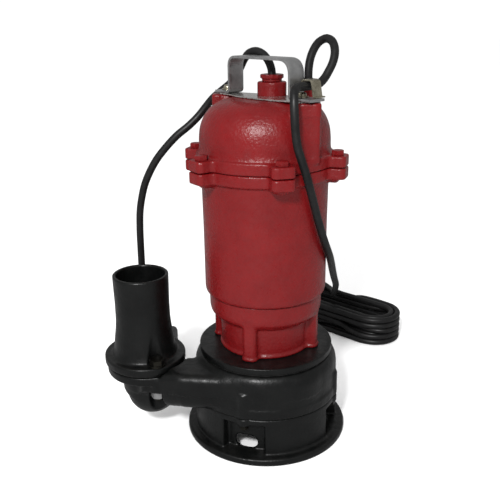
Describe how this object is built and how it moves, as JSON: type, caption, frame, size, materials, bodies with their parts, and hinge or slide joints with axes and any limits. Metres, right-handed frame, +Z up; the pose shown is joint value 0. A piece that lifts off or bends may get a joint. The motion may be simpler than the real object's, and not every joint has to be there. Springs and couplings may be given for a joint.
{
  "type": "submersible sewage pump",
  "caption": "Electric submersible sewage pump: sealed motor over a cast volute on a round foot, with an upright hose outlet, lifting strap, level float and coiled supply lead.",
  "frame": {"origin": "on the floor under the middle of the box around the pump and its discharge elbow, cords left out; the shaft axis is upright 46 mm to the +X side of it", "axes": "+Z up along the shaft; -Y towards the front, where the outlet shows on the left; the outlet stands on the -X side"},
  "size_m": [0.3819, 0.4411, 0.4373],
  "materials": {
    "paint_red": "hammered gloss enamel over cast iron",
    "iron_black": "black gloss paint over rough casting",
    "steel_zinc": "dull zinc plated",
    "steel_bright": "ground",
    "steel_laminated": "stacked electrical sheet, varnished",
    "brass_fastener": "yellow chromate, dull",
    "copper_wire": "enamelled copper winding",
    "rubber_black": "satin",
    "plastic_black": "satin",
    "plastic_grey": "satin",
    "ceramic_white": "lapped ceramic seal face"
  },
  "bodies": {
    "housing": {"barrel_gasket": "rubber_black", "bearing_lower": "steel_zinc", "bearing_shield": "iron_black", "bearing_upper": "steel_zinc", "capacitor": "plastic_grey", "casing_gasket": "rubber_black", "coil_tie": "rubber_black", "cord_clip": "brass_fastener", "cover_bolt_1": "paint_red", "cover_bolt_2": "paint_red", "cover_bolt_3": "paint_red", "cover_bolt_4": "paint_red", "cover_bolt_5": "paint_red", "cover_bolt_6": "paint_red", "discharge_bolt_1": "brass_fastener", "discharge_bolt_2": "brass_fastener", "discharge_gasket": "rubber_black", "discharge_nut_1": "steel_zinc", "discharge_nut_2": "steel_zinc", "discharge_tube": "iron_black", "float_lead": "rubber_black", "float_switch": "plastic_black", "gland_center": "paint_red", "gland_center_cap": "paint_red", "gland_center_sleeve": "rubber_black", "gland_rear_cap": "paint_red", "gland_rear_sleeve": "rubber_black", "lifting_strap": "steel_zinc", "motor_barrel": "paint_red", "oil_chamber": "paint_red", "pump_cover": "iron_black", "pump_stand": "iron_black", "seal_seat": "ceramic_white", "stand_bolt_1": "steel_zinc", "stand_bolt_2": "steel_zinc", "stand_bolt_3": "steel_zinc", "stand_bolt_4": "steel_zinc", "stator_core": "steel_laminated", "strap_screw_1": "brass_fastener", "strap_screw_2": "brass_fastener", "supply_coil": "rubber_black", "supply_lead": "rubber_black", "supply_plug": "rubber_black", "supply_tail": "rubber_black", "top_cover": "paint_red", "top_plate": "steel_zinc", "volute_casing": "iron_black", "wear_plate": "steel_zinc", "winding_lower": "copper_wire", "winding_upper": "copper_wire"},
    "rotor": {"shaft": "steel_bright", "rotor_core": "steel_laminated", "impeller": "iron_black", "impeller_nut": "brass_fastener", "seal_head": "rubber_black"}
  },
  "joints": [
    {"name": "shaft_spin", "type": "hinge", "parent": "housing", "child": "rotor", "pos_m": [0.04605, 0, 0.2], "axis": [0, 0, 1], "continuous": true}
  ]
}
